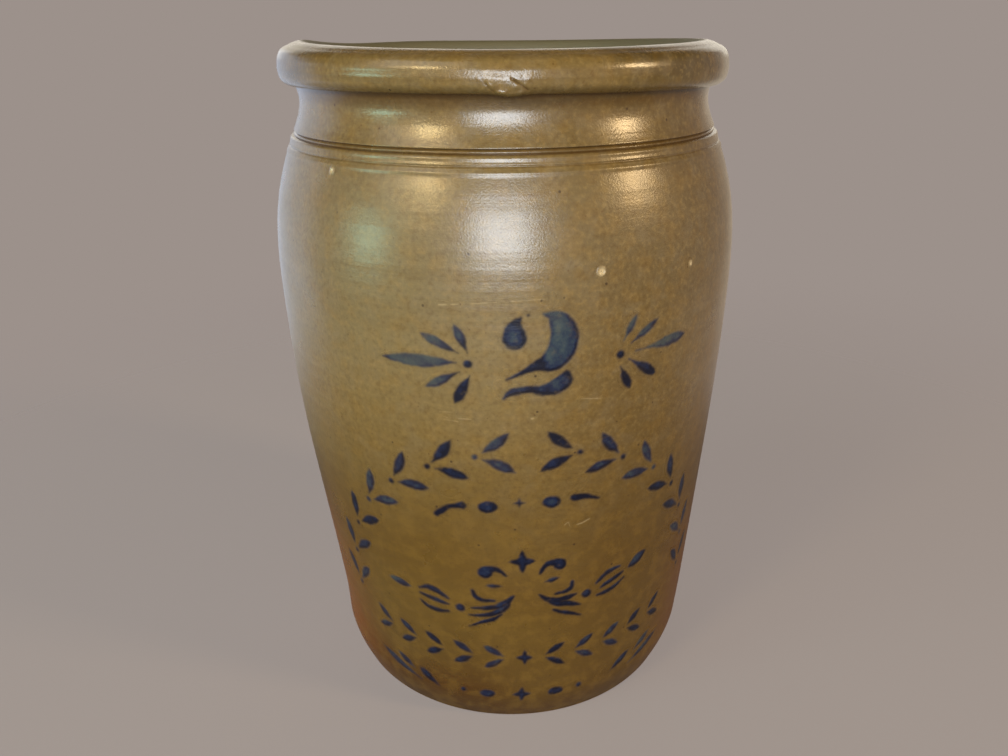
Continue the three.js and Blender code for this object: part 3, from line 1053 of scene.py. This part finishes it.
def make_foot_row():
    painted("foot_row_marks", [
        dot(-27, FOOT_ROW_LEVEL + 0.6, 1.5, 0.8),
        oval(-14, FOOT_ROW_LEVEL, 4.6, 2.5, -2, 0.8),
        *lozenge(4, FOOT_ROW_LEVEL, 4.4, 4.4, 0.9),
        oval(22, FOOT_ROW_LEVEL, 4.6, 2.5, 2, 0.9),
        dot(35, FOOT_ROW_LEVEL + 0.6, 1.5, 0.8),
    ], cell=0.6)
    painted("swag_centre", lozenge(SWAG_CENTRE, SWAG_LEVEL, 4.0, 4.6, 0.9))
    painted("foot_sprig_left", [
        leaf((-52, 18.4), (-79, 27.4), 1.9, 0.6),
        leaf((-56, 24.2), (-66.5, 30.2), 1.8, 0.7),
        leaf((-41, 18.2), (-52.5, 26.2), 2.2, 0.85),
    ], cell=0.6)
    painted("foot_sprig_right", [
        leaf((67, 20.2), (91, 29), 1.9, 0.6),
        leaf((70.5, 27.2), (81.5, 34), 1.8, 0.5),
        leaf((54.4, 21.8), (65.8, 29.6), 2.1, 0.8),
    ], cell=0.6)


# Small flaws: (across, level, radius) of burst bubbles, and pale scratches as strokes
POPS = {
    "pop_right": (34.7, 228.8, 1.5),
    "pop_far_right": (77.6, 225.4, 0.8),
    "chip_left": (-75.2, 262.0, 1.1),
}
SCRATCHES = [
    [(-26.0, 173.6, 0.1), (-23, 173.8, 0.2), (-20.6, 173.9, 0.1)],
    [(-25.0, 172.0, 0.1), (-23.0, 171.3, 0.2)],
    [(-25.6, 170.5, 0.08), (-22.0, 170.2, 0.15), (-19.0, 169.9, 0.08)],
    [(-18.5, 171.2, 0.12), (-16.0, 171.3, 0.24), (-13.8, 171.2, 0.1)],
    [(28.4, 178.3, 0.05), (32, 177.8, 0.13), (36.5, 177.2, 0.05)],
    [(9.3, 171.5, 0.3), (9.7, 171.5, 0.3)],
    [(23.6, 118.4, 0.1), (25.2, 119.6, 0.2), (26.0, 117.2, 0.1)],
    [(29.0, 117.6, 0.1), (32.0, 118.2, 0.22), (35.0, 119.4, 0.1)],
    [(-24.0, 217.9, 0.2), (-22.6, 218.0, 0.32), (-21.4, 218.0, 0.15)],
    [(-19.6, 218.2, 0.15), (-18.4, 218.3, 0.26), (-17.4, 218.4, 0.1)],
    [(-14.0, 218.6, 0.04), (-8.0, 219.1, 0.1), (-3.5, 219.4, 0.04)],
    [(-1.0, 219.5, 0.04), (5.0, 219.8, 0.1), (13.5, 220.2, 0.04)],
]


def make_flaws():
    for name, (across, level, radius) in POPS.items():
        def crater(s, z, across=across, level=level, radius=radius):
            away = np.hypot(s - across, z - level)
            return 0.24 * np.exp(-(((away - radius) / 0.45) ** 2)) - 0.1 * np.exp(-((away / radius) ** 2))
        painted(name, [dot(across, level, radius)], cell=0.25, wear=0.7, relief=crater, feather=0.8)
    scratches = [stroke(points, steps=14) for points in SCRATCHES]
    painted("glaze_scratches", scratches, cell=0.18, wear=0.24, feather=0.3)


# Studio

BACKDROP = srgb(156, 145, 139)
CEILING = srgb(72, 64, 56)
FLOOR_COLOUR = (0.165, 0.155, 0.162, 1.0)
CAMERA_PLACE = (-LEAN / 2, -385.2, 308.6)
CAMERA_PITCH = math.radians(23.173)
CAMERA_YAW = math.radians(-0.2138)
CAMERA_ROLL = math.radians(-0.681)
FOCAL_PIXELS = 799.9
PHOTO_WIDTH = 1008
SENSOR = 36.0


def make_camera():
    forward = np.array([
        math.sin(CAMERA_YAW) * math.cos(CAMERA_PITCH),
        math.cos(CAMERA_YAW) * math.cos(CAMERA_PITCH),
        -math.sin(CAMERA_PITCH),
    ])
    level_right = np.cross(forward, (0, 0, 1))
    level_right /= np.linalg.norm(level_right)
    level_up = np.cross(level_right, forward)
    right = math.cos(CAMERA_ROLL) * level_right + math.sin(CAMERA_ROLL) * level_up
    up = np.cross(right, forward)
    data = bpy.data.cameras.new("camera")
    data.sensor_width = SENSOR
    data.sensor_fit = "HORIZONTAL"
    data.lens = FOCAL_PIXELS / PHOTO_WIDTH * SENSOR
    data.clip_start = 0.01
    camera = bpy.data.objects.new("camera", data)
    turn = Matrix((right, up, -forward)).transposed().to_4x4()
    camera.matrix_world = Matrix.Translation([value * MM for value in CAMERA_PLACE]) @ turn
    bpy.context.collection.objects.link(camera)
    bpy.context.scene.camera = camera


# Lamps: (azimuth from the front to the right, elevation, distance in metres), size in metres, watts, colour
LAMPS = {
    "key": ((-1.5, 12.6, 1.7), (0.76, 0.76), 25, (0.86, 0.93, 1.0)),
    "warm_left": ((-41, 29, 1.9), (0.32, 0.32), 8.6, (1.0, 0.72, 0.30)),
    "warm_right": ((68, 24.5, 1.9), (0.27, 0.27), 14, (1.0, 0.71, 0.38)),
    "green_left": ((-65, 4.5, 1.9), (0.45, 0.4), 5.4, (0.50, 1.0, 0.80)),
    "fill": ((-50, 40, 2.0), (1.3, 1.3), 9, (1.0, 0.97, 0.92)),
    "front": ((-40, 8, 2.2), (1.7, 1.2), 0.8, (1.0, 0.97, 0.92)),
    "edge_left": ((-128, -2, 1.7), (1.7, 1.5), 8.5, (0.60, 0.75, 1.0)),
    "edge_right": ((150, -8, 1.7), (0.9, 1.3), 1.6, (1.0, 0.87, 0.62)),
    "back": ((180, 17, 1.9), (2.4, 0.7), 7, (1.0, 0.95, 0.82)),
}
LAMP_AIM = 180.0


def make_lamps():
    for name, ((azimuth, elevation, distance), (wide, high), watts, colour) in LAMPS.items():
        data = bpy.data.lights.new(name, "AREA")
        data.shape = "RECTANGLE"
        data.size = wide
        data.size_y = high
        data.energy = watts
        data.color = colour
        lamp = bpy.data.objects.new(name, data)
        a, e = math.radians(azimuth), math.radians(elevation)
        away = np.array([math.sin(a) * math.cos(e), -math.cos(a) * math.cos(e), math.sin(e)])
        place = away * distance + np.array([0, 0, LAMP_AIM * MM])
        right = np.array([math.cos(a), math.sin(a), 0.0])
        up = np.cross(away, right)
        lamp.matrix_world = Matrix.Translation(place) @ Matrix((right, up, away)).transposed().to_4x4()
        bpy.context.collection.objects.link(lamp)


def make_world():
    """The backdrop's colour all round, up to a dimmer ceiling."""
    world = bpy.data.worlds.new("studio")
    bpy.context.scene.world = world
    world.use_nodes = True
    tree = world.node_tree
    background = tree.nodes["Background"]
    background.inputs["Strength"].default_value = 1.0
    direction = tree.nodes.new("ShaderNodeTexCoord")
    split = tree.nodes.new("ShaderNodeSeparateXYZ")
    ramp = tree.nodes.new("ShaderNodeValToRGB")
    ramp.color_ramp.elements[0].position = math.sin(math.radians(14))
    ramp.color_ramp.elements[0].color = BACKDROP
    ramp.color_ramp.elements[1].position = math.sin(math.radians(32))
    ramp.color_ramp.elements[1].color = CEILING
    tree.links.new(direction.outputs["Generated"], split.inputs["Vector"])
    tree.links.new(split.outputs["Z"], ramp.inputs["Fac"])
    tree.links.new(ramp.outputs["Color"], background.inputs["Color"])


FLOOR_SOLID = 0.30  # metres from the jar within which the floor shows fully
FLOOR_GONE = 0.85
FLOOR_GLOW = 0.62  # share of the backdrop's colour that the floor shows in shade
FLOOR_MIRRORED = (0.05, 1.0)  # and in reflections, near the jar and further out
MIRRORED_NEAR = 0.22
MIRRORED_FAR = 0.48
FRONT_MIRRORED = 0.15  # share of that on the camera's side


def make_stage():
    """Plain floor that takes a soft shadow of the jar and melts into the backdrop further out."""
    tree = Tree("studio_floor")
    tree.shader.inputs["Roughness"].default_value = 0.9
    tree.shader.inputs["Specular IOR Level"].default_value = 0.1
    tree.shader.inputs["Base Color"].default_value = FLOOR_COLOUR
    tree.shader.inputs["Emission Color"].default_value = BACKDROP
    ray = tree.add("LightPath")
    mirrored = tree.math("MAXIMUM", ray.outputs["Is Glossy Ray"], ray.outputs["Is Transmission Ray"])
    reach = tree.add("VectorMath", {"operation": "LENGTH"}, Vector=tree.object).outputs["Value"]
    share = tree.range(reach, MIRRORED_NEAR, MIRRORED_FAR, *FLOOR_MIRRORED)
    mirrored = tree.math("MULTIPLY", mirrored, share)
    depth = tree.add("SeparateXYZ", Vector=tree.object).outputs["Y"]
    in_front = tree.range(depth, 0.1, -0.15)
    mirrored = tree.math("MULTIPLY", mirrored, tree.range(in_front, 0.0, 1.0, 1.0, FRONT_MIRRORED))
    glow = tree.math("MULTIPLY", ray.outputs["Is Camera Ray"], FLOOR_GLOW)
    tree.put(tree.shader.inputs["Emission Strength"], tree.math("MAXIMUM", glow, mirrored))
    fade = tree.range(reach, FLOOR_SOLID, FLOOR_GONE)
    solid = tree.math("MULTIPLY", ray.outputs["Is Glossy Ray"], in_front)
    fade = tree.math("MULTIPLY", fade, tree.math("SUBTRACT", 1.0, solid))
    clear = tree.add("BsdfTransparent").outputs["BSDF"]
    blend = tree.add("MixShader")
    tree.put(blend.inputs[0], fade)
    tree.put(blend.inputs[1], tree.shader.outputs["BSDF"])
    tree.put(blend.inputs[2], clear)
    tree.put(tree.tree.nodes["Material Output"].inputs["Surface"], blend.outputs["Shader"])
    bpy.ops.mesh.primitive_plane_add(size=4)
    floor = bpy.context.object
    floor.name = "studio_floor"
    floor.data.materials.append(tree.material)


make_camera()
make_wall()
make_neck()
make_rim()
make_floor()
make_lining()
make_numeral()
make_sprays()
make_divider()
make_scroll()
make_garland("garland_left", -1)
make_garland("garland_right", 1)
make_swag("swag_left", -1)
make_swag("swag_right", 1)
make_foot_row()
make_flaws()
make_stage()
make_lamps()
make_world()
bpy.context.scene.view_settings.view_transform = "Standard"
